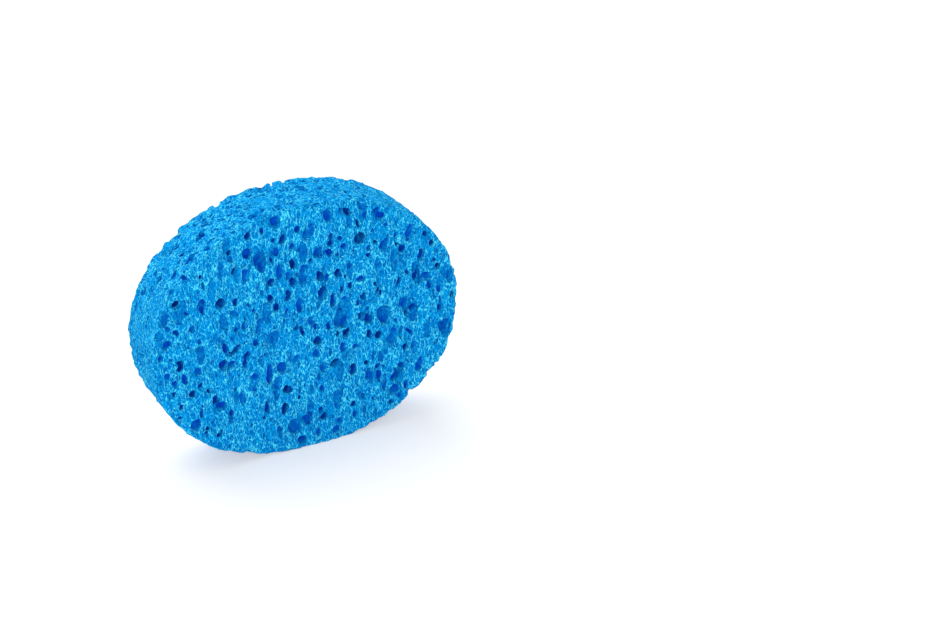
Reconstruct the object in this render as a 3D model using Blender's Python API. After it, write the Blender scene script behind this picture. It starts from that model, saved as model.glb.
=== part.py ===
"""An oval bath sponge of dyed cellulose foam, standing on its long rim.

Units are metres and +Z is up. X runs along the oval and the broad faces look along -Y and +Y.
The origin is the middle of the small flat that the sponge stands on.
"""

import math
import random
from collections import namedtuple

import bmesh
import bpy
from mathutils import Matrix, Vector

# The oval slab
LENGTH = 0.130
HEIGHT = 0.1066  # across the oval, before the rim settles on the ground
THICKNESS = 0.0254
FULLNESS = 2.07  # exponent of the oval: 2 is an ellipse, and more is squarer
SETTLE = 0.0008  # how far the weight presses the rim flat where it stands
EDGE_SOFTNESS = 0.0008  # rounding of the crease between a face and the rim
EDGE_STEPS = 2
CREASE_ANGLE = math.radians(60)  # only edges sharper than this are rounded
OUTLINE_STEPS = 96
RIM_CORNERS = 4  # corners of each facet of the rim, which is shaded round

# What keeps the pores apart, and off the flat that the sponge stands on
WEB = 0.00035  # the thinnest wall of foam between two pores
REST_MARGIN = 0.0005
SEED = 21
TRIES = 40  # places tried for each scattered pore
SMALL_ONES = 2  # how much commoner the small sizes of a kind are: 1 is evenly spread

# A pore is an oval hollow. across and along are its least and greatest diameters, stretch is along
# over across, depth is its depth over across, and sink is how far its middle lies under the
# surface, over its depth. sides and rings set how finely it is rounded.
Kind = namedtuple("Kind", "count across stretch depth sink sides rings")
BOWLS = Kind(22, (0.0040, 0.0070), (1.2, 1.9), (0.45, 0.65), 0.0, 8, 4)
HOLES = Kind(40, (0.0020, 0.0036), (1.0, 1.6), (1.2, 1.8), 0.35, 6, 4)
PITS = Kind(50, (0.0012, 0.0020), (1.0, 1.7), (0.9, 1.3), 0.15, 5, 3)
RIM_SLOTS = Kind(32, (0.0018, 0.0032), (1.3, 2.2), (0.7, 1.1), 0.1, 6, 4)
RIM_PITS = Kind(44, (0.0012, 0.0020), (1.2, 2.4), (0.7, 1.1), 0.1, 5, 3)
LEAN = math.radians(22)  # how far a scattered pore may lean from the grain of the foam

# The pores that stand out on the front face: how far out along X and up Z, each as a share of half
# the oval, then across, along and lean to the right in degrees
FRONT_HOLES = (
    (0.35, 0.65, 0.0040, 0.0046, 60),
    (-0.56, 0.38, 0.0034, 0.0042, 0),
    (0.09, 0.27, 0.0030, 0.0046, 25),
    (0.16, 0.19, 0.0020, 0.0052, 5),
    (0.63, 0.47, 0.0022, 0.0032, -10),
    (0.24, -0.10, 0.0024, 0.0042, 20),
    (0.18, -0.09, 0.0018, 0.0028, 0),
    (0.15, -0.32, 0.0030, 0.0046, 55),
    (0.28, -0.42, 0.0026, 0.0048, 0),
    (-0.19, -0.61, 0.0030, 0.0056, 0),
    (-0.17, -0.45, 0.0030, 0.0044, -30),
    (-0.24, 0.46, 0.0022, 0.0030, 0),
    (-0.56, -0.13, 0.0024, 0.0032, 0),
    (-0.84, -0.02, 0.0028, 0.0030, 0),
)
FRONT_BOWLS = (
    (0.02, 0.04, 0.0036, 0.0096, -28),
    (0.02, 0.77, 0.0050, 0.0082, 25),
    (-0.40, 0.53, 0.0030, 0.0086, 0),
    (-0.54, 0.63, 0.0032, 0.0100, 0),
    (-0.91, -0.10, 0.0042, 0.0052, 0),
    (-0.72, -0.12, 0.0038, 0.0044, 0),
    (-0.57, 0.08, 0.0034, 0.0054, 0),
    (-0.06, 0.22, 0.0038, 0.0072, 0),
    (-0.32, 0.12, 0.0046, 0.0096, 12),
)

# The foam's colour, as linear values
FOAM_COLOR = (0.007, 0.26, 0.67, 1.0)
FOAM_ROUGHNESS = 0.92

FRONT = Vector((0, -1, 0))
UP = Vector((0, 0, 1))
# shape turns a unit sphere into the pore, about its centre
Pore = namedtuple("Pore", "centre shape kind")


def clear_scene():
    for thing in list(bpy.data.objects):
        bpy.data.objects.remove(thing, do_unlink=True)


def outline_point(angle):
    """A point of the oval as (x, z), with z up from the ground."""
    power = 2 / FULLNESS
    across, up = math.cos(angle), math.sin(angle)
    x = LENGTH / 2 * math.copysign(abs(across) ** power, across)
    z = HEIGHT / 2 * math.copysign(abs(up) ** power, up)
    return x, z + HEIGHT / 2 - SETTLE


def rim_angles():
    """The angles where the oval leaves the ground, one on each side, counterclockwise."""
    lowest = math.asin((1 - 2 * SETTLE / HEIGHT) ** (FULLNESS / 2))
    return -lowest, math.pi + lowest


def in_oval(x, z):
    """How near the oval a point is, seen from the front: 0 in the middle and 1 on the rim."""
    middle = HEIGHT / 2 - SETTLE
    out = abs(2 * x / LENGTH) ** FULLNESS + abs(2 * (z - middle) / HEIGHT) ** FULLNESS
    return out ** (1 / FULLNESS)


def make_slab(material):
    """The oval before its pores are cut, its crease rounded and its foot flat."""
    start, end = rim_angles()
    shape = bmesh.new()
    angles = [start + (end - start) * i / OUTLINE_STEPS for i in range(OUTLINE_STEPS + 1)]
    corners = [shape.verts.new((x, -THICKNESS / 2, z)) for x, z in map(outline_point, angles)]
    front = shape.faces.new(corners)
    grown = bmesh.ops.extrude_face_region(shape, geom=[front])
    back = [item for item in grown["geom"] if isinstance(item, bmesh.types.BMVert)]
    bmesh.ops.translate(shape, verts=back, vec=(0, THICKNESS, 0))
    bmesh.ops.recalc_face_normals(shape, faces=shape.faces)
    mesh = bpy.data.meshes.new("sponge")
    shape.to_mesh(mesh)
    shape.free()
    mesh.materials.append(material)
    for side in mesh.polygons:
        side.use_smooth = len(side.vertices) == RIM_CORNERS
    slab = bpy.data.objects.new("sponge", mesh)
    bpy.context.collection.objects.link(slab)
    crease = slab.modifiers.new("soft crease", "BEVEL")
    crease.width = EDGE_SOFTNESS
    crease.segments = EDGE_STEPS
    crease.limit_method = "ANGLE"
    crease.angle_limit = CREASE_ANGLE
    return slab


def pore_at(surface, outward, grain, lean, sizes, kind):
    """A pore opening at a point of the surface, its long way turned by lean from the grain."""
    across, along, deep = sizes
    side = grain.cross(outward)
    turn = Matrix((side, grain, outward)).transposed() @ Matrix.Rotation(-lean, 3, "Z")
    shape = turn @ Matrix.Diagonal((across / 2, along / 2, deep))
    return Pore(surface - outward * deep * kind.sink, shape, kind)


def reach(pore, direction):
    """How far a pore goes from its centre along a unit direction."""
    return (pore.shape.transposed() @ direction).length


def add(pores, pore):
    """Adds the pore, and says True, if it leaves foam between it, the ground and every other pore."""
    if pore.centre.z - reach(pore, UP) < REST_MARGIN:
        return False
    for other in pores:
        between = other.centre - pore.centre
        way = between.normalized()
        if between.length < reach(pore, way) + reach(other, way) + WEB:
            return False
    pores.append(pore)
    return True


def place_chosen(pores, rows, kind):
    """Adds the pores of the front face that are placed by hand."""
    for right, up, across, along, lean in rows:
        spot = Vector((right * LENGTH / 2, -THICKNESS / 2, HEIGHT / 2 - SETTLE + up * HEIGHT / 2))
        sizes = across, along, across * sum(kind.depth) / 2
        add(pores, pore_at(spot, FRONT, UP, math.radians(lean), sizes, kind))


def drawn_sizes(draw, kind):
    """Across, along and deep for one scattered pore. Small ones are the commonest."""
    least, most = kind.across
    across = least + (most - least) * draw.random() ** SMALL_ONES
    return across, across * draw.uniform(*kind.stretch), across * draw.uniform(*kind.depth)


def face_place(draw, outward):
    """A place anywhere on a broad face, with the foam's grain upright."""
    while True:
        x = draw.uniform(-1, 1) * LENGTH / 2
        z = draw.uniform(0, 1) * HEIGHT
        if in_oval(x, z) < 1:
            return Vector((x, outward.y * THICKNESS / 2, z)), outward, UP


def front_place(draw):
    return face_place(draw, FRONT)


def back_place(draw):
    return face_place(draw, -FRONT)


def rim_place(draw):
    """A place anywhere on the rim, with the grain along the rim."""
    start, end = rim_angles()
    step = (end - start) / OUTLINE_STEPS
    angle = draw.uniform(start + step, end - step)
    (x0, z0), (x1, z1) = outline_point(angle - step / 2), outline_point(angle + step / 2)
    grain = Vector((x1 - x0, 0, z1 - z0)).normalized()
    outward = grain.cross(FRONT)
    y = draw.uniform(-1, 1) * THICKNESS / 2
    return Vector(((x0 + x1) / 2, y, (z0 + z1) / 2)), outward, grain


def scatter(draw, pores, kind, place):
    """Adds up to kind.count pores of one kind, each where it fits among those already there."""
    for _ in range(kind.count):
        for _ in range(TRIES):
            surface, outward, grain = place(draw)
            lean = draw.uniform(-LEAN, LEAN)
            pore = pore_at(surface, outward, grain, lean, drawn_sizes(draw, kind), kind)
            if add(pores, pore):
                break


def all_pores():
    """Every pore, the largest kinds first so that the small ones fill in between."""
    draw = random.Random(SEED)
    pores = []
    place_chosen(pores, FRONT_HOLES, HOLES)
    place_chosen(pores, FRONT_BOWLS, BOWLS)
    scatter(draw, pores, BOWLS, front_place)
    scatter(draw, pores, BOWLS, back_place)
    scatter(draw, pores, HOLES, front_place)
    scatter(draw, pores, HOLES, back_place)
    scatter(draw, pores, RIM_SLOTS, rim_place)
    scatter(draw, pores, PITS, front_place)
    scatter(draw, pores, PITS, back_place)
    scatter(draw, pores, RIM_PITS, rim_place)
    return pores


def make_cutter(pores):
    """One mesh that holds a closed oval body for each pore."""
    shape = bmesh.new()
    for pore in pores:
        place = Matrix.Translation(pore.centre) @ pore.shape.to_4x4()
        bmesh.ops.create_uvsphere(
            shape, u_segments=pore.kind.sides, v_segments=pore.kind.rings, radius=1, matrix=place
        )
    bmesh.ops.recalc_face_normals(shape, faces=shape.faces)
    mesh = bpy.data.meshes.new("pores")
    shape.to_mesh(mesh)
    shape.free()
    cutter = bpy.data.objects.new("pores", mesh)
    cutter.hide_render = True
    cutter.display_type = "WIRE"
    bpy.context.collection.objects.link(cutter)
    return cutter


def foam_material():
    material = bpy.data.materials.new("blue_foam")
    material.use_nodes = True
    surface = material.node_tree.nodes["Principled BSDF"]
    surface.inputs["Base Color"].default_value = FOAM_COLOR
    surface.inputs["Roughness"].default_value = FOAM_ROUGHNESS
    surface.inputs["Metallic"].default_value = 0.0
    return material


def main():
    clear_scene()
    sponge = make_slab(foam_material())
    cut = sponge.modifiers.new("pores", "BOOLEAN")
    cut.operation = "DIFFERENCE"
    cut.solver = "EXACT"
    cut.object = make_cutter(all_pores())


main()
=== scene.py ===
"""The looks of the oval bath sponge: its open cells, its dyed foam, the white set and the camera.

Units are metres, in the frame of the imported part: X along the oval, the front face along -Y, +Z up.
"""

import math
from collections import namedtuple

import bpy
import numpy as np
import openvdb
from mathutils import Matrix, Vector

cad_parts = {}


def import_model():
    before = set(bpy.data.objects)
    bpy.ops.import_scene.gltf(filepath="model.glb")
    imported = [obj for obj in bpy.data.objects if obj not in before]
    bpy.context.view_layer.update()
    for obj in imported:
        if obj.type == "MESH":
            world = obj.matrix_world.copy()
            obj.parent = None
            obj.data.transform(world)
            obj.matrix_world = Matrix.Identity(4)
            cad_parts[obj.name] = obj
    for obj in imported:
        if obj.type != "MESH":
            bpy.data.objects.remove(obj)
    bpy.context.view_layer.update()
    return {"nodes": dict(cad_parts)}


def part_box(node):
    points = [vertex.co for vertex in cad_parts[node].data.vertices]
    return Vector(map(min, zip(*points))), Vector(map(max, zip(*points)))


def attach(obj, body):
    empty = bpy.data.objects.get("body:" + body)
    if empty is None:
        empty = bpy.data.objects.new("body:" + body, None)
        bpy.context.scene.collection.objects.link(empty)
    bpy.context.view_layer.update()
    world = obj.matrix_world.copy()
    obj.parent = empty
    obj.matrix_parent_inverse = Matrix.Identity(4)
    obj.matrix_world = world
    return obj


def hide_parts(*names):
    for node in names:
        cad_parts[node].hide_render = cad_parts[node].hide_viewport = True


# The camera, as the photograph's perspective gives it
EYE = Vector((-0.26407, -0.62735, 0.40316))
AIM = Vector((0.11093, 0.06411, 0.0))
SENSOR_MM = 36
LENS_MM = 74.12
CLIP = (0.01, 20)  # the nearest and the furthest that the camera sees

# The outline of the slab, as the part has it
FULLNESS = 2.07  # exponent of the oval: 2 is an ellipse, and more is squarer
SLOPE_STEP = 0.0001  # over which the slope of the oval's radius is taken
LEAST_SLOPE = 1.0  # keeps the middle of the oval, where there is none, at a finite depth
SETTLE = 0.0008  # how far the foot is pressed flat
FRONT, BACK = -1, 1  # which way along Y each broad face looks
RIM_STEPS = 721  # points at which the way round the rim is measured
ONWARD = 0.001  # the turn, in radians, over which the rim's direction is taken

# The grid that the foam is carved in
VOXEL = 0.00036
BAND = 0.0045  # how far from the skin distances are kept
MARGIN = 6  # voxels round the part
MOST_TRIANGLES = 198_000
SEED = 9
SKIN_BLUR = 1  # voxels, over which the facets of the solid are softened
LIP = 0.00016  # how softly a hollow runs into the skin
CARVE_SPARE = 2  # voxels past a hollow's own reach, for its lip
PROUD = 0.0006  # how far the walls between cells stand out from the solid
MM = 0.001

# Hollows scattered over the skin: the spacing of their jittered lattice, least and greatest width,
# length over width along the grain, depth over width, and the share of the lattice that has one.
# The front face has its own share, because most of its hollows are listed one by one.
Layer = namedtuple("Layer", "spacing across stretch deep share")
BOWLS = Layer(0.0056, (0.0026, 0.0050), (1.2, 2.2), (0.22, 0.42), 0.6)
HOLES = Layer(0.0056, (0.0011, 0.0021), (1.3, 2.6), (1.3, 2.2), 0.65)
FRONT_BOWLS = BOWLS._replace(share=0.2)
FRONT_HOLES = HOLES._replace(share=0.15)
RIM_BOWLS = Layer(0.0040, (0.0014, 0.0034), (1.2, 2.2), (0.22, 0.45), 0.5)
RIM_HOLES = Layer(0.0062, (0.0011, 0.0018), (1.1, 2.0), (0.8, 1.5), 0.4)
NICKS = Layer(0.0032, (0.0012, 0.0028), (1.0, 2.2), (0.25, 0.5), 0.5)  # in the creases
SMALL_ONES = 1.7  # how much commoner the small sizes of a layer are
LEAN_SPREAD = 0.32  # how far hollows lean from the grain, in radians
FACE_SHARE = 0.97  # how far out a broad face has hollows, over the oval
RIM_MARGIN = 0.0014  # how far the hollows of the rim keep from its creases

# Pores of the front face, read off the photograph, in millimetres: X, Z, width, length, and
# the lean to the right in degrees
DARK_PORES = (
    (-18.3, 99.0, 1.5, 2.2, 0), (-3.6, 96.5, 1.9, 2.4, 0), (10.5, 90.4, 1.7, 2.2, 0),
    (14.2, 89.2, 1.5, 1.9, 0), (15.7, 84.9, 1.5, 2.4, 0), (29.0, 84.4, 2.2, 1.9, 0),
    (34.5, 85.3, 1.4, 2.1, 0), (32.6, 80.9, 1.8, 1.9, 0), (25.7, 78.9, 2.0, 2.1, 0),
    (9.5, 83.5, 1.7, 3.2, 0), (1.4, 82.1, 1.3, 1.5, 0), (-6.0, 82.7, 1.9, 2.4, 0),
    (-6.2, 74.3, 2.5, 2.8, 0), (-4.4, 77.3, 1.1, 1.1, 0), (-30.5, 72.1, 2.0, 3.9, 0),
    (-23.2, 66.7, 1.7, 3.4, 0), (-13.8, 66.0, 2.3, 4.5, 0), (-9.6, 62.9, 1.7, 4.0, 0),
    (-44.1, 71.5, 1.8, 3.9, 0), (-50.3, 71.6, 1.1, 1.3, 0), (-31.5, 51.0, 2.2, 4.6, 55),
    (-3.4, 52.0, 1.5, 3.1, 0), (2.9, 46.7, 3.5, 3.7, 0), (22.2, 53.1, 2.6, 4.1, 0),
    (23.7, 61.8, 2.8, 3.3, 0), (20.9, 59.3, 1.8, 2.3, 0), (7.9, 51.9, 1.6, 4.3, 0),
    (57.3, 48.2, 1.9, 2.8, 0), (55.4, 70.4, 1.6, 2.5, 0), (49.3, 73.8, 2.2, 4.1, 0),
    (54.0, 78.1, 1.6, 2.1, 0), (29.4, 42.8, 2.2, 2.4, 0), (42.0, 33.8, 2.7, 3.8, 10),
    (39.8, 25.9, 1.9, 2.7, 0), (36.6, 22.6, 2.5, 5.1, 15), (29.8, 24.0, 1.8, 4.7, 0),
    (4.3, 24.9, 1.8, 4.2, 0), (-18.1, 36.0, 2.1, 9.0, 5), (-33.2, 45.1, 1.5, 2.3, 0),
    (-54.6, 49.5, 3.6, 4.0, 0), (-46.9, 40.0, 2.2, 2.7, 0), (-35.1, 24.2, 1.7, 4.7, 0),
    (-47.3, 27.1, 1.3, 2.1, 0), (-46.9, 30.4, 1.1, 1.4, 0), (-45.7, 20.1, 1.7, 2.0, 0),
    (-55.9, 27.5, 1.5, 1.5, 0), (-19.9, 23.0, 2.5, 5.8, 0), (-21.4, 18.3, 1.5, 2.0, 0),
    (-5.8, 3.9, 3.4, 3.9, 0), (2.9, 15.1, 1.8, 2.2, 0), (17.6, 14.2, 2.0, 2.5, 0),
    (18.4, 8.6, 1.6, 3.3, 0), (22.8, 87.1, 4.3, 4.9, 60), (-36.4, 72.8, 3.7, 4.5, 0),
    (5.9, 66.9, 3.5, 5.2, 25), (10.4, 62.6, 2.4, 5.6, 5), (41.0, 77.6, 2.5, 3.5, -10),
    (15.6, 47.2, 2.9, 4.8, 20), (11.7, 47.7, 2.1, 3.1, 0), (9.8, 35.4, 3.3, 4.9, 55),
    (18.2, 30.1, 2.9, 5.1, 0), (-12.4, 20.0, 3.3, 5.9, 0), (-11.1, 28.5, 3.3, 4.7, -30),
    (-15.6, 77.0, 2.5, 3.3, 0), (-36.4, 45.6, 2.7, 3.5, 0), (-54.6, 51.4, 3.1, 3.3, 0),
)
MIDDLING_PORES = (
    (15.7, 100.5, 2.7, 3.0, 0), (9.4, 99.7, 3.8, 5.9, 0), (-12.4, 102.0, 4.2, 4.7, 0),
    (31.9, 94.9, 4.1, 3.6, 0), (34.2, 90.8, 1.6, 2.1, 0), (26.1, 82.2, 2.7, 2.7, 0),
    (5.1, 84.8, 4.4, 4.1, 0), (7.4, 78.9, 1.7, 1.9, 0), (-12.0, 80.3, 2.8, 5.6, 0),
    (-7.6, 77.3, 2.8, 4.3, 0), (-24.8, 91.3, 3.6, 4.2, 0), (-20.2, 87.3, 4.2, 6.4, 0),
    (-25.3, 69.5, 2.0, 3.4, 0), (-16.0, 69.4, 2.8, 4.9, 0), (-30.3, 66.2, 2.2, 3.7, 0),
    (-27.4, 61.2, 3.0, 4.0, 0), (-58.3, 67.1, 2.3, 3.1, 0), (-59.1, 60.7, 3.2, 4.3, 0),
    (15.4, 61.8, 2.7, 3.1, 0), (12.9, 57.5, 3.3, 5.8, 10), (33.2, 51.6, 1.6, 2.4, 0),
    (52.8, 60.2, 2.3, 3.2, 0), (52.2, 63.8, 4.3, 3.7, 0), (22.3, 69.8, 3.5, 2.7, 0),
    (19.2, 40.4, 3.0, 2.6, 0), (13.8, 41.5, 3.2, 5.1, 0), (25.6, 24.3, 4.1, 5.3, 0),
    (-12.3, 38.4, 4.2, 4.9, 0), (-23.7, 36.5, 3.4, 5.1, 0), (-52.9, 44.3, 2.7, 5.7, -10),
    (-57.2, 43.0, 2.7, 3.8, 0), (-62.5, 55.4, 2.1, 3.0, 0), (-38.5, 28.8, 3.9, 3.7, 0),
    (-49.9, 22.8, 4.6, 6.1, 0), (-42.8, 20.4, 1.7, 4.9, 0), (-27.1, 16.4, 1.7, 2.8, 0),
    (-14.9, 11.4, 2.0, 3.2, 0), (-8.4, 10.6, 5.1, 6.5, 0), (-2.8, 12.3, 4.6, 5.9, 0),
    (1.6, 5.2, 2.0, 4.7, 0), (9.9, 3.9, 3.5, 4.5, 0), (36.6, 15.2, 4.6, 4.5, 0),
)
SHALLOW_PORES = (
    (-48.8, 60.4, 7.6, 11.6, 0), (-14.6, 50.7, 8.7, 9.2, 0), (-24.7, 42.6, 4.9, 8.1, 0),
    (36.5, 59.7, 4.0, 6.3, 0), (41.4, 61.4, 3.2, 4.1, 0), (8.3, 29.9, 5.2, 8.6, 0),
    (-31.7, 33.7, 6.0, 11.3, 0), (45.2, 49.6, 6.1, 7.0, 0), (44.5, 70.5, 7.0, 7.8, 0),
    (20.0, 96.5, 4.8, 5.6, 0), (43.1, 40.1, 6.2, 8.0, 0), (-40.6, 45.8, 5.5, 6.7, 0),
    (-5.3, 69.7, 3.8, 4.7, 0), (30.8, 68.8, 5.0, 5.8, 0), (4.8, 77.8, 5.2, 5.7, 0),
)
# Pores of the rim: the turn round the oval in degrees from +X, Y, width across the rim, length
RIM_PORES = (
    (83.3, -5.9, 2.2, 3.2), (92.1, -10.6, 1.6, 2.4), (102.5, -7.3, 2.0, 3.0),
    (121.0, 4.7, 2.6, 3.0), (135.1, 5.6, 3.2, 3.0), (134.9, -1.4, 2.4, 2.6),
    (141.2, -11.0, 1.6, 2.4), (102.1, 8.0, 1.6, 2.6), (119.7, -9.9, 2.0, 2.8),
    (94.8, -5.2, 1.8, 3.4), (123.6, 8.6, 2.2, 2.4), (147.5, 0.6, 2.0, 3.6),
    (156.1, 6.6, 2.0, 3.2), (109.5, -4.1, 1.8, 3.0),
)
PORE_GROWTH = 0.25  # added to the width and length of the front face's pores, for their soft lips
DARK_DEPTH, MIDDLING_DEPTH, SHALLOW_DEPTH, RIM_DEPTH = 1.5, 0.7, 0.2, 1.0  # over their width

# Wavelength and reach: how the faces swell, how hollows are bent, and how rough the skin is
SWELL = (0.016, 0.00022)
BEND = (0.0022, 0.00028)
ROUGHNESS = ((0.0028, 0.00010), (0.0014, 0.00010))
BENT_BAND = 4  # how far from the skin the grid is bent, over the reach of the bend
SPARE_KNOTS = 4  # of a noise's own lattice, past the end of the grid

# How far round a vertex the foam is summed up, for its ridge and how buried it is, and the depth
# under the skin that counts as 1
NEAR_REACH, WIDE_REACH = 0.0008, 0.0022
FULL_DEPTH = 0.003

# Open bubbles in the skin, from large to small: how many to a metre, the share that are open, their
# least and greatest radius over their spacing, how dark the darkest is with painted shade, and how
# deep it is sunk
BUBBLES = (
    (230.0, 0.40, (0.28, 0.52), 0.16, 0.0007),
    (430.0, 0.55, (0.18, 0.42), 0.55, 0.0007),
    (820.0, 0.60, (0.20, 0.44), 0.66, 0.0003),
)
LACE_CELLS, FINE_CELLS = 640.0, 1500.0  # to a metre, in the walls between the bubbles
FACE_STRETCH, RIM_STRETCH = 2.6, 1.8  # how much longer the cells are along the grain
MEAN_RADIUS = 0.06  # of the oval, for places round its rim
# Noises, how many to a metre and their detail: where the cells bend and where the paleness changes
CELL_BENDS, SPECKS, PATCHES = (420.0, 2.0), (2600.0, 1.0), (260.0, 4.0)
CELL_BEND = 0.0012  # how far the noise moves a cell
BUBBLE_FADE = 0.4  # the share of its paleness that the inside of a bubble loses, as painted shade
FINE_SINK = 0.0001  # how deep the fine cells are sunk
RIDGE_HIGHLIGHT = 0.25  # the painted highlight that a sharp ridge adds to the paleness
PALE_HEIGHT = 0.00015  # how far the palest walls stand out in the bump
BUMP_STRENGTH = 0.8
FOAM_ROUGHNESS, FOAM_SPECULAR = 1.0, 0.04

# Ramps: where a smooth step starts and ends, and its values there
LACE_RAMP = (0.14, 0.05, 0.0, 1.0)  # paleness by how far the wall of a lace cell is
FINE_RAMP = (0.17, 0.05, 0.0, 0.7)  # and the wall of a fine cell
FINE_SINK_RAMP = (0.0, 0.3, 0.0, 1.0)  # a fine cell sinks away from its wall
WALL_RAMP = (0.0, 0.06, 0.0, 1.0)  # a bubble ends at the wall of its cell
INSIDE_RAMP = (0.0, -0.08, 0.0, 1.0)  # by how far outside the bubble's radius a place is
OUTER_LIP_RAMP, INNER_LIP_RAMP = (0.08, 0.01, 0.0, 1.0), (-0.08, -0.01, 0.0, 1.0)
CHANCE_RAMP = (0.0, 1.0, 0.15, 1.0)  # some bubbles are shallower and paler than others
SPECK_RAMP = (0.3, 0.7, -0.55, 0.5)  # added to the paleness
PATCH_RAMP = (0.35, 0.65, 0.75, 1.0)  # the paleness is multiplied by this one,
DEPTH_SHADE_RAMP = (1.0, 0.1, 0.8, 1.0)  # by this one, painted shade, which falls with the depth under the skin,
PIT_SHADE_RAMP = (0.5, 0.15, 0.5, 1.0)  # and by this one, painted shade, which falls where a place is buried
RIDGE_HIGHLIGHT_RAMP = (0.0, 0.7, 0.0, 1.0)  # how sharp a ridge is, for its painted highlight
WALL_COLOUR_RAMP, CREST_RAMP = (0.0, 0.75, 0.0, 1.0), (0.82, 1.2, 0.0, 1.0)  # by paleness
BOWL_SHADE_RAMP, DEEP_SHADE_RAMP = (0.08, 0.4, 0.0, 0.55), (0.3, 0.65, 0.0, 0.9)  # painted shade of the hollows, by how buried a place is
WHITE_RAMP = (0.16, 0.34, 0.0, 1.0)  # the table turns white, by how far from the sponge it is

# The dyed foam's colours, as linear values, with painted shade in its cells, bubbles and pits and a
# painted highlight on its palest walls
# the gaps and walls of the lace: the foam's own pattern, with the gaps darkened in part as painted
# shade of the fine cells
LACE_GAP = (0.0001, 0.174, 0.62, 1)
LACE_WALL = (0.001, 0.39, 0.86, 1)
# the palest walls, in part a painted highlight
CREST = (0.10, 0.80, 1.0, 1)
# painted shade of shallow pits
BOWL_SHADE = (0.0001, 0.110, 0.46, 1)
# painted shade inside open bubbles
BUBBLE_SHADE = (0.0001, 0.125, 0.50, 1)
# painted shade of deep holes, in a saturated blue that stands in for light let through the foam
DEEP_SHADE = (0.0001, 0.074, 0.64, 1)

# The white table, the room and the lamps
FLOOR_WHITE = 0.9
SHOWN_SHADE = 0.77  # how much of the floor's own light and shade the camera sees
SHOWN_LIFT = 1.77  # the white that makes up the rest
WORLD_LIGHT = 0.57
TABLE_REACH = 3.0
LAMP_AIM = (0, 0, 0.05)
# Name, place, size and power
LAMPS = (
    ("overhead", (-0.15, 0.50, 1.10), 1.3, 11.8),
    ("front_fill", (-0.55, -1.30, 0.50), 1.0, 8.5),
)


def mesh_points(mesh):
    points = np.empty(len(mesh.vertices) * 3, np.float32)
    mesh.vertices.foreach_get("co", points)
    return points.reshape(-1, 3)


def mesh_triangles(mesh):
    mesh.calc_loop_triangles()
    corners = np.empty(len(mesh.loop_triangles) * 3, np.int32)
    mesh.loop_triangles.foreach_get("vertices", corners)
    return corners.reshape(-1, 3).astype(np.uint32)


class Slab:
    """The skin of the uncut slab, round the CAD box: an oval of an even thickness."""

    def __init__(self, low, high):
        self.half_length = (high[0] - low[0]) / 2 + PROUD
        self.half_height = (high[2] - low[2] + SETTLE) / 2 + PROUD
        self.half_thickness = (high[1] - low[1]) / 2 + PROUD
        self.middle = (high[2] + low[2] - SETTLE) / 2

    def radius(self, x, z):
        """How far out a point is: 0 in the middle of the oval and 1 on its rim."""
        out = np.abs(x / self.half_length) ** FULLNESS
        out = out + np.abs((z - self.middle) / self.half_height) ** FULLNESS
        return out ** (1 / FULLNESS)

    def rim_depth(self, x, z):
        """About how far a point is inside the rim."""
        r = self.radius(x, z)
        aside, above = self.radius(x + SLOPE_STEP, z), self.radius(x, z + SLOPE_STEP)
        slope = np.hypot(aside - r, above - r) / SLOPE_STEP
        return (1 - r) / np.maximum(slope, LEAST_SLOPE)

    def rim_point(self, angle):
        power = 2 / FULLNESS
        x = self.half_length * np.copysign(np.abs(np.cos(angle)) ** power, np.cos(angle))
        z = self.half_height * np.copysign(np.abs(np.sin(angle)) ** power, np.sin(angle))
        return np.stack([x, np.zeros_like(x), z + self.middle], axis=1)

    def rim_frames(self, angle, y):
        """Points of the rim and their axes: across the rim, along it and outward."""
        spot = self.rim_point(angle)
        grain = self.rim_point(angle + ONWARD) - spot
        grain /= np.linalg.norm(grain, axis=1, keepdims=True)
        side = np.tile([0.0, 1.0, 0.0], (len(spot), 1))
        outward = np.cross(side, grain)
        spot[:, 1] = y
        return spot, np.stack([side, grain, outward], axis=1)

    def crease_frames(self, angle, y):
        """Points of a crease and their axes: across it, along it and outward."""
        spot, axes = self.rim_frames(angle, y)
        outward = axes[:, 2] + np.stack([0 * y, np.sign(y), 0 * y], axis=1)
        outward /= np.linalg.norm(outward, axis=1, keepdims=True)
        return spot, np.stack([np.cross(axes[:, 1], outward), axes[:, 1], outward], axis=1)

    def face_frames(self, x, z, facing):
        """Points of a broad face and their axes: sideways, up and outward."""
        spot = np.stack([x, np.full_like(x, facing * self.half_thickness), z], axis=1)
        axes = np.array([[-facing, 0, 0], [0, 0, 1], [0, facing, 0]], float)
        return spot, np.broadcast_to(axes, (len(spot), 3, 3))


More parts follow.
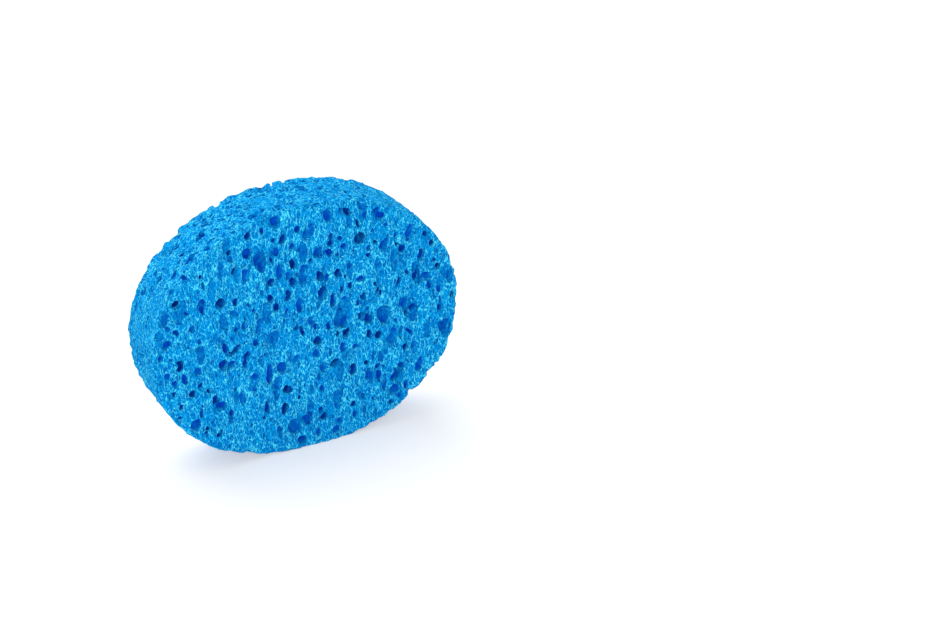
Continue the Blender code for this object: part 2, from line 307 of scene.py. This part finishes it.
class Foam:
    """Distances to the foam's skin on a grid, less than 0 in the foam."""

    def __init__(self, solid, low, high):
        self.first = np.floor(np.array(low) / VOXEL).astype(int) - MARGIN
        last = np.ceil(np.array(high) / VOXEL).astype(int) + MARGIN
        self.origin = self.first * VOXEL
        points, triangles = mesh_points(solid.data), mesh_triangles(solid.data)
        middle, half = (np.array(high) + low) / 2, (np.array(high) - low) / 2
        points = (middle + (points - middle) * (1 + PROUD / half)).astype(np.float32)
        space = openvdb.createLinearTransform(voxelSize=VOXEL)
        grid = openvdb.FloatGrid.createLevelSetFromPolygons(
            points, triangles=triangles, transform=space, halfWidth=BAND / VOXEL
        )
        self.field = np.empty(tuple(int(n) for n in last - self.first + 1), np.float32)
        grid.copyToArray(self.field, ijk=tuple(int(n) for n in self.first))

    def carve(self, centre, axes, semi):
        """Takes out an oval hollow. axes are rows, and semi its half widths along them."""
        reach = np.sqrt(((axes * semi[:, None]) ** 2).sum(0)) + CARVE_SPARE * VOXEL
        low = np.maximum(np.floor((centre - reach - self.origin) / VOXEL).astype(int), 0)
        high = np.ceil((centre + reach - self.origin) / VOXEL).astype(int) + 1
        high = np.minimum(high, self.field.shape)
        if (low >= high).any():
            return
        lines = (VOXEL * np.arange(*ends) for ends in zip(low, high))
        x, y, z = (start + line - middle for start, line, middle in zip(self.origin, lines, centre))
        x, y, z = x[:, None, None], y[None, :, None], z[None, None, :]
        out = 0
        for axis, half in zip(axes, semi):
            out = out + ((x * axis[0] + y * axis[1] + z * axis[2]) / half) ** 2
        hollow = (1 - np.sqrt(out)) * semi.min()
        part = self.field[low[0] : high[0], low[1] : high[1], low[2] : high[2]]
        # The greater of the two, rounded off where they meet
        near = np.maximum(LIP - np.abs(part - hollow), 0) / LIP
        part[...] = np.maximum(part, hollow) + near * near * LIP / 4

    def carve_all(self, spots, axes, across, along, deep, lean):
        """Carves one hollow at each spot, turned by lean from the grain."""
        rows = zip(spots, axes, across, along, deep, lean)
        for spot, (side, grain, outward), width, length, depth, turn in rows:
            c, s = math.cos(turn), math.sin(turn)
            turned = np.array([c * side - s * grain, s * side + c * grain, outward])
            self.carve(spot, turned, np.array([width / 2, length / 2, depth]))

    def noise(self, draw, wavelength, reach):
        """Smooth random values on the grid."""
        step = wavelength / VOXEL
        sizes = [int(n / step) + SPARE_KNOTS for n in self.field.shape]
        noise = draw.standard_normal(sizes).astype(np.float32) * reach
        for axis, n in enumerate(self.field.shape):
            at = np.arange(n) / step
            low = np.floor(at).astype(int)
            t = ((at - low) ** 2 * (3 - 2 * (at - low))).astype(np.float32)
            t = t.reshape([-1 if k == axis else 1 for k in range(3)])
            noise = np.take(noise, low, axis) * (1 - t) + np.take(noise, low + 1, axis) * t
        return noise

    def bend(self, draw, wavelength, reach):
        """Moves the skin sideways by smooth random steps, so that no hollow is a plain oval."""
        near = np.abs(self.field) < BENT_BAND * reach
        moved = np.stack([self.noise(draw, wavelength, reach)[near] for _ in range(3)], axis=1)
        points = self.origin + VOXEL * np.argwhere(near) + moved
        self.field[near] = sampled(self.field, self.origin, points)

    def stand(self):
        """Keeps the foam above the ground."""
        height = self.origin[2] + VOXEL * np.arange(self.field.shape[2])
        self.field = np.maximum(self.field, -height[None, None, :]).astype(np.float32)

    def surface(self):
        grid = openvdb.FloatGrid(BAND)
        grid.transform = openvdb.createLinearTransform(voxelSize=VOXEL)
        grid.copyFromArray(self.field, ijk=tuple(int(n) for n in self.first))
        points, triangles, quads = grid.convertToPolygons(0.0, 0.0)
        return points, quads.astype(np.int64), triangles.astype(np.int64)


def jittered(draw, columns, rows, spacing):
    """The points of a lattice, each moved at random."""
    a, b = (grid.ravel() for grid in np.meshgrid(columns, rows))
    a = a + (np.round(b / spacing) % 2) * spacing / 2 + draw.uniform(-0.5, 0.5, len(a)) * spacing
    b = b + draw.uniform(-0.5, 0.5, len(a)) * spacing
    return a, b


def face_places(slab, draw, spacing, facing):
    columns = np.arange(-slab.half_length, slab.half_length, spacing)
    x, z = jittered(draw, columns, np.arange(0, 2 * slab.half_height, spacing), spacing)
    inside = slab.radius(x, z) < FACE_SHARE
    return slab.face_frames(x[inside], z[inside], facing)


def along_the_rim(slab, draw, rows, spacing):
    """Jittered places of a band along the rim: their angles round the oval and their rows."""
    turn = np.linspace(-math.pi / 2, 1.5 * math.pi, RIM_STEPS)
    gaps = np.linalg.norm(np.diff(slab.rim_point(turn), axis=0), axis=1)
    along = np.concatenate([[0], np.cumsum(gaps)])
    s, y = jittered(draw, np.arange(0, along[-1], spacing), rows, spacing)
    return np.interp(s % along[-1], along, turn), y


def rim_places(slab, draw, spacing):
    rows = np.arange(-slab.half_thickness, slab.half_thickness, spacing)
    angle, y = along_the_rim(slab, draw, rows, spacing)
    inside = np.abs(y) < slab.half_thickness - RIM_MARGIN
    return slab.rim_frames(angle[inside], y[inside])


def crease_places(slab, draw, spacing, facing):
    row = facing * slab.half_thickness
    angle, _ = along_the_rim(slab, draw, [row], spacing)
    return slab.crease_frames(angle, np.full(len(angle), row))


def scatter(foam, draw, layer, spots, axes):
    """Carves one layer of hollows at some of the places."""
    n = len(spots)
    chosen = draw.random(n) < layer.share
    least, most = layer.across
    across = least + (most - least) * draw.random(n) ** SMALL_ONES
    along = across * draw.uniform(*layer.stretch, n)
    deep = across * draw.uniform(*layer.deep, n)
    lean = draw.normal(0, LEAN_SPREAD, n)
    foam.carve_all(*(list(v[chosen]) for v in (spots, axes, across, along, deep, lean)))


def place_pores(foam, slab):
    """Carves the pores of the front face and the rim that stand out in the photograph."""
    for rows, depth in (
        (DARK_PORES, DARK_DEPTH),
        (MIDDLING_PORES, MIDDLING_DEPTH),
        (SHALLOW_PORES, SHALLOW_DEPTH),
    ):
        x, z, across, along, lean = np.array(rows).T
        spots, axes = slab.face_frames(x * MM, z * MM, FRONT)
        across, along = (across + PORE_GROWTH) * MM, (along + PORE_GROWTH) * MM
        foam.carve_all(spots, axes, across, along, across * depth, np.radians(lean))
    turn, y, across, along = np.array(RIM_PORES).T
    spots, axes = slab.rim_frames(np.radians(turn), y * MM)
    across, along = across * MM, along * MM
    foam.carve_all(spots, axes, across, along, across * RIM_DEPTH, np.zeros(len(turn)))


def scatter_hollows(foam, slab, draw):
    """Carves the scattered hollows of the faces, the rim and the creases."""
    for facing, layers in (FRONT, (FRONT_BOWLS, FRONT_HOLES)), (BACK, (BOWLS, HOLES)):
        for layer in layers:
            scatter(foam, draw, layer, *face_places(slab, draw, layer.spacing, facing))
    for layer in RIM_BOWLS, RIM_HOLES:
        scatter(foam, draw, layer, *rim_places(slab, draw, layer.spacing))
    for facing in FRONT, BACK:
        scatter(foam, draw, NICKS, *crease_places(slab, draw, NICKS.spacing, facing))


def largest_piece(points, quads, triangles):
    """Leaves out crumbs and sealed bubbles: only the largest joined surface stays."""
    ends = [quads[:, [k, k + 1]] for k in range(3)] + [triangles[:, [k, k + 1]] for k in range(2)]
    ends = np.concatenate(ends)
    label = np.arange(len(points))
    while True:
        least = np.minimum(label[ends[:, 0]], label[ends[:, 1]])
        new = label.copy()
        np.minimum.at(new, ends[:, 0], least)
        np.minimum.at(new, ends[:, 1], least)
        new = new[new]
        if (new == label).all():
            break
        label = new
    names, counts = np.unique(label, return_counts=True)
    kept = label == names[counts.argmax()]
    place = np.cumsum(kept) - 1
    return points[kept], place[quads[kept[quads[:, 0]]]], place[triangles[kept[triangles[:, 0]]]]


def make_mesh(name, points, quads, triangles):
    mesh = bpy.data.meshes.new(name)
    sizes = np.concatenate([np.full(len(quads), 4), np.full(len(triangles), 3)])
    corners = np.concatenate([quads.ravel(), triangles.ravel()])
    starts = np.concatenate([[0], np.cumsum(sizes)[:-1]])
    mesh.vertices.add(len(points))
    mesh.vertices.foreach_set("co", points.astype(np.float32).ravel())
    mesh.loops.add(len(corners))
    mesh.loops.foreach_set("vertex_index", corners.astype(np.int32))
    mesh.polygons.add(len(sizes))
    mesh.polygons.foreach_set("loop_start", starts.astype(np.int32))
    mesh.update(calc_edges=True)
    mesh.validate()
    return mesh


def add_object(name, mesh):
    ob = bpy.data.objects.new(name, mesh)
    bpy.context.scene.collection.objects.link(ob)
    return ob


def take_shape(ob):
    """Gives an object the mesh that its modifiers make, and takes them off."""
    shown = ob.evaluated_get(bpy.context.evaluated_depsgraph_get())
    mesh = bpy.data.meshes.new_from_object(shown)
    ob.modifiers.clear()
    ob.data = mesh


def thin_out(ob, most):
    """Brings an object under a number of triangles."""
    ob.data.calc_loop_triangles()
    count = len(ob.data.loop_triangles)
    if count > most:
        thin = ob.modifiers.new("thin", "DECIMATE")
        thin.ratio = most / count
        thin.use_collapse_triangulate = True
        take_shape(ob)


def blurred(values, reach):
    """A box blur along each axis, reach voxels to both sides."""
    width = 2 * reach + 1
    for axis, n in enumerate(values.shape):
        ends = [(reach + 1, reach) if k == axis else (0, 0) for k in range(3)]
        total = np.cumsum(np.pad(values, ends, "edge"), axis=axis, dtype=np.float64)
        after, before = (np.take(total, range(start, start + n), axis) for start in (width, 0))
        values = ((after - before) / width).astype(np.float32)
    return values


def sampled(values, origin, points):
    """The grid's values at points, drawn straight between its corners."""
    at = (points - origin) / VOXEL
    low = np.clip(np.floor(at).astype(int), 0, np.array(values.shape) - 2)
    t = np.clip(at - low, 0, 1)
    total = 0
    for corner in np.ndindex(2, 2, 2):
        weight = np.prod(np.where(corner, t, 1 - t), axis=1)
        i, j, k = (low + corner).T
        total = total + weight * values[i, j, k]
    return total


def store(mesh, name, values):
    """Stores a number or a vector for each vertex."""
    kind, field = ("FLOAT", "value") if values.ndim == 1 else ("FLOAT_VECTOR", "vector")
    layer = mesh.attributes.new(name, kind, "POINT")
    layer.data.foreach_set(field, values.astype(np.float32).ravel())


def fetch(mesh, name):
    values = np.empty(len(mesh.vertices), np.float32)
    mesh.attributes[name].data.foreach_get("value", values)
    return values


def write_places(mesh, slab):
    """Stores where each vertex lies in the pattern of cells, which are longer along the grain.

    Round the rim the cells run along it, so there the places turn with the oval. They meet at the
    foot, where the sponge stands.
    """
    x, y, z = mesh_points(mesh).T
    up = z - slab.middle
    round_it = MEAN_RADIUS * np.arctan2(x, up)
    store(mesh, "flat_place", np.stack([x, y, z / FACE_STRETCH], axis=1))
    store(mesh, "round_place", np.stack([np.hypot(x, up), y, round_it / RIM_STRETCH], axis=1))
    from_face = slab.half_thickness - np.abs(y)
    store(mesh, "on_rim", np.where(from_face > slab.rim_depth(x, z), 1.0, 0.0))


def sink_cells(ob):
    """Sinks the cells into the skin, where the material's own pattern has them."""
    tree = bpy.data.node_groups.new("cells", "GeometryNodeTree")
    for way in ("INPUT", "OUTPUT"):
        tree.interface.new_socket("Geometry", in_out=way, socket_type="NodeSocketGeometry")
    nodes = Nodes(tree)
    start = nodes.add("NodeGroupInput").outputs[0]
    _, _, sunk = cell_pattern(nodes)
    inputs = {"Geometry": start, "Name": "sunk", "Value": sunk}
    named = nodes.add("GeometryNodeStoreNamedAttribute", inputs, data_type="FLOAT")
    nodes.add("NodeGroupOutput", {0: named.outputs[0]})
    ob.modifiers.new("cells", "NODES").node_group = tree
    take_shape(ob)
    mesh = ob.data
    normals = np.empty(len(mesh.vertices) * 3, np.float32)
    mesh.vertex_normals.foreach_get("vector", normals)
    points = mesh_points(mesh) - normals.reshape(-1, 3) * fetch(mesh, "sunk")[:, None]
    points[:, 2] = np.maximum(points[:, 2], 0)
    mesh.vertices.foreach_set("co", points.ravel())
    mesh.attributes.remove(mesh.attributes["sunk"])
    mesh.update()


def write_traits(mesh, foam, slab, swell):
    """Stores at each vertex how deep it lies under the skin and how much foam is round it."""
    points = mesh_points(mesh).astype(float)
    x, y, z = points.T
    solid = (foam.field < 0).astype(np.float32)
    near = sampled(blurred(solid, round(NEAR_REACH / VOXEL)), foam.origin, points)
    wide = sampled(blurred(solid, round(WIDE_REACH / VOXEL)), foam.origin, points)
    under = np.minimum(slab.half_thickness - np.abs(y), slab.rim_depth(x, z))
    under -= sampled(swell, foam.origin, points)
    store(mesh, "depth", under / FULL_DEPTH)
    store(mesh, "ridge", 1 - near * 2)
    store(mesh, "buried", wide * 2 - 1)


def make_foam(solid):
    low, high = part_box("sponge")
    slab = Slab(low, high)
    foam = Foam(solid, low, high)
    foam.field = blurred(foam.field, SKIN_BLUR)
    draw = np.random.default_rng(SEED)
    place_pores(foam, slab)
    scatter_hollows(foam, slab, draw)
    foam.bend(draw, *BEND)
    swell = foam.noise(draw, *SWELL)
    foam.field += swell
    for wavelength, reach in ROUGHNESS:
        foam.field += foam.noise(draw, wavelength, reach)
    foam.stand()
    points, quads, triangles = largest_piece(*foam.surface())
    ob = add_object("sponge_foam", make_mesh("sponge_foam", points, quads, triangles))
    write_places(ob.data, slab)
    sink_cells(ob)
    thin_out(ob, MOST_TRIANGLES)
    ob.data.shade_smooth()
    write_traits(ob.data, foam, slab, swell)
    return ob


# Of a mix: the sockets of its factor, its first and second value, and its result
MIX_SOCKETS = {"RGBA": (0, 6, 7, 2), "VECTOR": (0, 4, 5, 1), "FLOAT": (0, 2, 3, 0)}


class Nodes:
    """Short ways to add and join the nodes of a shader or of geometry nodes."""

    def __init__(self, tree):
        self.tree = tree
        tree.nodes.clear()

    def add(self, kind, inputs=None, **settings):
        made = self.tree.nodes.new(kind)
        for name, value in settings.items():
            setattr(made, name, value)
        for name, value in (inputs or {}).items():
            if isinstance(value, bpy.types.NodeSocket):
                self.tree.links.new(value, made.inputs[name])
            else:
                made.inputs[name].default_value = value
        return made

    def math(self, operation, *values):
        inputs = dict(enumerate(values))
        return self.add("ShaderNodeMath", inputs, operation=operation).outputs[0]

    def vector(self, operation, *values):
        inputs = dict(enumerate(values))
        return self.add("ShaderNodeVectorMath", inputs, operation=operation).outputs[0]

    def noise(self, place, scale, detail):
        inputs = {"Vector": place, "Scale": scale, "Detail": detail}
        return self.add("ShaderNodeTexNoise", inputs).outputs

    def step(self, value, ramp):
        """A smooth step of value along one of the ramps."""
        ends = zip(("From Min", "From Max", "To Min", "To Max"), ramp)
        inputs = {"Value": value} | dict(ends)
        return self.add("ShaderNodeMapRange", inputs, interpolation_type="SMOOTHSTEP").outputs[0]

    def mix(self, factor, first, second, kind="RGBA"):
        """A mix of two colours, vectors or numbers."""
        *ends, result = MIX_SOCKETS[kind]
        inputs = dict(zip(ends, (factor, first, second)))
        return self.add("ShaderNodeMix", inputs, data_type=kind).outputs[result]

    def trait(self, name, vector=False):
        """A vertex's stored number or vector, in a shader or in geometry nodes."""
        if self.tree.type == "GEOMETRY":
            kind = "FLOAT_VECTOR" if vector else "FLOAT"
            made = self.add("GeometryNodeInputNamedAttribute", {"Name": name}, data_type=kind)
            return made.outputs["Attribute"]
        made = self.add("ShaderNodeAttribute", attribute_name=name)
        return made.outputs["Vector" if vector else "Fac"]

    def voronoi(self, place, scale, feature="F1"):
        return self.add("ShaderNodeTexVoronoi", {"Vector": place, "Scale": scale}, feature=feature)

    def edge(self, place, scale):
        """How far a place is from the nearest wall between cells, over the cells' size."""
        return self.voronoi(place, scale, "DISTANCE_TO_EDGE").outputs["Distance"]


def bubbles(nodes, place, scale, share, radii):
    """One size of bubbles: how far inside one a place is, how near its lip, and its chance."""
    cell = nodes.voronoi(place, scale)
    size, opened, chance = nodes.add("ShaderNodeSeparateXYZ", {0: cell.outputs["Color"]}).outputs
    least, most = radii
    radius = nodes.math("MULTIPLY_ADD", size, most - least, least)
    out = nodes.math("SUBTRACT", cell.outputs["Distance"], radius)
    there = nodes.math("LESS_THAN", opened, share)
    there = nodes.math("MULTIPLY", there, nodes.step(nodes.edge(place, scale), WALL_RAMP))
    inside = nodes.math("MULTIPLY", nodes.step(out, INSIDE_RAMP), there)
    lip = nodes.math("MULTIPLY", nodes.step(out, OUTER_LIP_RAMP), nodes.step(out, INNER_LIP_RAMP))
    return inside, nodes.math("MULTIPLY", lip, there), chance


def cell_pattern(nodes):
    """The foam's cells: how pale a place is, how dark it is with painted shade inside open bubbles,
    and how far it is sunk, in metres.
    """
    flat, curved = nodes.trait("flat_place", vector=True), nodes.trait("round_place", vector=True)
    on_rim = nodes.math("GREATER_THAN", nodes.trait("on_rim"), 0.5)
    place = nodes.mix(on_rim, flat, curved, "VECTOR")
    bend = nodes.noise(place, *CELL_BENDS)["Color"]
    place = nodes.vector("MULTIPLY_ADD", bend, (CELL_BEND,) * 3, place)
    fine = nodes.edge(place, FINE_CELLS)
    lace = nodes.step(nodes.edge(place, LACE_CELLS), LACE_RAMP)
    pale = nodes.math("MAXIMUM", lace, nodes.step(fine, FINE_RAMP))
    bubble_shade, sunk = 0.0, nodes.math("MULTIPLY", nodes.step(fine, FINE_SINK_RAMP), FINE_SINK)
    for scale, share, radii, darkest, depth in BUBBLES:
        inside, lip, chance = bubbles(nodes, place, scale, share, radii)
        shade = nodes.math("MULTIPLY", inside, nodes.step(chance, CHANCE_RAMP))
        bubble_shade = nodes.math("MAXIMUM", bubble_shade, nodes.math("MULTIPLY", shade, darkest))
        sunk = nodes.math("MULTIPLY_ADD", shade, depth, sunk)
        left = nodes.math("MULTIPLY_ADD", inside, -BUBBLE_FADE, 1.0)
        pale = nodes.math("MAXIMUM", nodes.math("MULTIPLY", pale, left), lip)
    speck = nodes.noise(place, *SPECKS)[0]
    pale = nodes.math("ADD", nodes.step(speck, SPECK_RAMP), pale)
    return pale, bubble_shade, sunk


def foam_material():
    material = bpy.data.materials.new("dyed_foam")
    material.use_nodes = True
    nodes = Nodes(material.node_tree)
    place = nodes.add("ShaderNodeTexCoord").outputs["Object"]
    depth, ridge, buried = (nodes.trait(name) for name in ("depth", "ridge", "buried"))
    pale, bubble_shade, sunk = cell_pattern(nodes)
    patch = nodes.noise(place, *PATCHES)[0]
    pale = nodes.math("MULTIPLY", pale, nodes.step(patch, PATCH_RAMP))
    # painted shade: the paleness fades deeper in the hollows
    pale = nodes.math("MULTIPLY", pale, nodes.step(depth, DEPTH_SHADE_RAMP))
    # painted highlight on sharp ridges
    pale = nodes.math("MULTIPLY_ADD", nodes.step(ridge, RIDGE_HIGHLIGHT_RAMP), RIDGE_HIGHLIGHT, pale)
    # painted shade: walls in pits lose their paleness
    pale = nodes.math("MULTIPLY", pale, nodes.step(buried, PIT_SHADE_RAMP))
    # the lace: the foam's own pattern, its gaps in part painted shade and its palest walls in part a
    # painted highlight
    colour = nodes.mix(nodes.step(pale, WALL_COLOUR_RAMP), LACE_GAP, LACE_WALL)
    colour = nodes.mix(nodes.step(pale, CREST_RAMP), colour, CREST)
    # painted shade inside open bubbles
    colour = nodes.mix(bubble_shade, colour, BUBBLE_SHADE)
    # painted shade: shallow pits, then deep holes, by how buried a place is
    colour = nodes.mix(nodes.step(buried, BOWL_SHADE_RAMP), colour, BOWL_SHADE)
    colour = nodes.mix(nodes.step(buried, DEEP_SHADE_RAMP), colour, DEEP_SHADE)
    height = nodes.math("SUBTRACT", nodes.math("MULTIPLY", pale, PALE_HEIGHT), sunk)
    inputs = {"Strength": BUMP_STRENGTH, "Distance": 1.0, "Height": height}
    bump = nodes.add("ShaderNodeBump", inputs).outputs[0]
    inputs = {
        "Base Color": colour,
        "Roughness": FOAM_ROUGHNESS,
        "Specular IOR Level": FOAM_SPECULAR,
        "Normal": bump,
    }
    shader = nodes.add("ShaderNodeBsdfPrincipled", inputs).outputs[0]
    nodes.add("ShaderNodeOutputMaterial", {"Surface": shader})
    return material


def seen_ray(nodes):
    """1 for rays that show the background: straight, mirrored or let through."""
    path = nodes.add("ShaderNodeLightPath").outputs
    seen = nodes.math("MAXIMUM", path["Is Camera Ray"], path["Is Glossy Ray"])
    return nodes.math("MAXIMUM", seen, path["Is Transmission Ray"])


def floor_material():
    """A white table: its soft shadow stays by the sponge, and further out the camera sees white."""
    material = bpy.data.materials.new("white_table")
    material.use_nodes = True
    nodes = Nodes(material.node_tree)
    lit = nodes.add("ShaderNodeBsdfDiffuse", {"Color": (FLOOR_WHITE,) * 3 + (1,)}).outputs[0]
    seen = seen_ray(nodes)
    lift = nodes.add("ShaderNodeEmission", {"Strength": SHOWN_LIFT}).outputs[0]
    share = nodes.math("MULTIPLY", seen, 1 - SHOWN_SHADE)
    near = nodes.add("ShaderNodeMixShader", {0: share, 1: lit, 2: lift}).outputs[0]
    place = nodes.add("ShaderNodeTexCoord").outputs["Object"]
    away = nodes.add("ShaderNodeVectorMath", {0: place}, operation="LENGTH").outputs["Value"]
    far = nodes.math("MULTIPLY", seen, nodes.step(away, WHITE_RAMP))
    white = nodes.add("ShaderNodeEmission", {"Strength": 1.0}).outputs[0]
    shader = nodes.add("ShaderNodeMixShader", {0: far, 1: near, 2: white}).outputs[0]
    nodes.add("ShaderNodeOutputMaterial", {"Surface": shader})
    return material


def make_set():
    signs = (-1, -1), (1, -1), (1, 1), (-1, 1)
    corners = [(TABLE_REACH * x, TABLE_REACH * y, 0) for x, y in signs]
    mesh = bpy.data.meshes.new("table_top")
    mesh.from_pydata(corners, [], [(0, 1, 2, 3)])
    mesh.materials.append(floor_material())
    add_object("table_top", mesh)
    world = bpy.data.worlds.new("white_room")
    world.use_nodes = True
    bpy.context.scene.world = world
    nodes = Nodes(world.node_tree)
    strength = nodes.mix(seen_ray(nodes), WORLD_LIGHT, 1.0, "FLOAT")
    inputs = {"Color": (1, 1, 1, 1), "Strength": strength}
    shader = nodes.add("ShaderNodeBackground", inputs).outputs[0]
    nodes.add("ShaderNodeOutputWorld", {"Surface": shader})


def add_lamp(name, place, size, power):
    lamp = bpy.data.lights.new(name, "AREA")
    lamp.size = size
    lamp.energy = power
    ob = add_object(name, lamp)
    ob.location = place
    ob.rotation_euler = (Vector(LAMP_AIM) - Vector(place)).to_track_quat("-Z", "Y").to_euler()


def add_camera():
    camera = bpy.data.cameras.new("camera")
    camera.sensor_width = SENSOR_MM
    camera.lens = LENS_MM
    camera.clip_start, camera.clip_end = CLIP
    ob = add_object("camera", camera)
    ob.location = EYE
    ob.rotation_euler = (AIM - EYE).to_track_quat("-Z", "Y").to_euler()
    bpy.context.scene.camera = ob


def main():
    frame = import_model()
    add_camera()
    make_set()
    for lamp in LAMPS:
        add_lamp(*lamp)
    sponge = make_foam(frame["nodes"]["sponge"])
    sponge.data.materials.append(foam_material())
    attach(sponge, "root")
    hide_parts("sponge")
    bpy.context.scene.view_settings.view_transform = "Standard"


main()
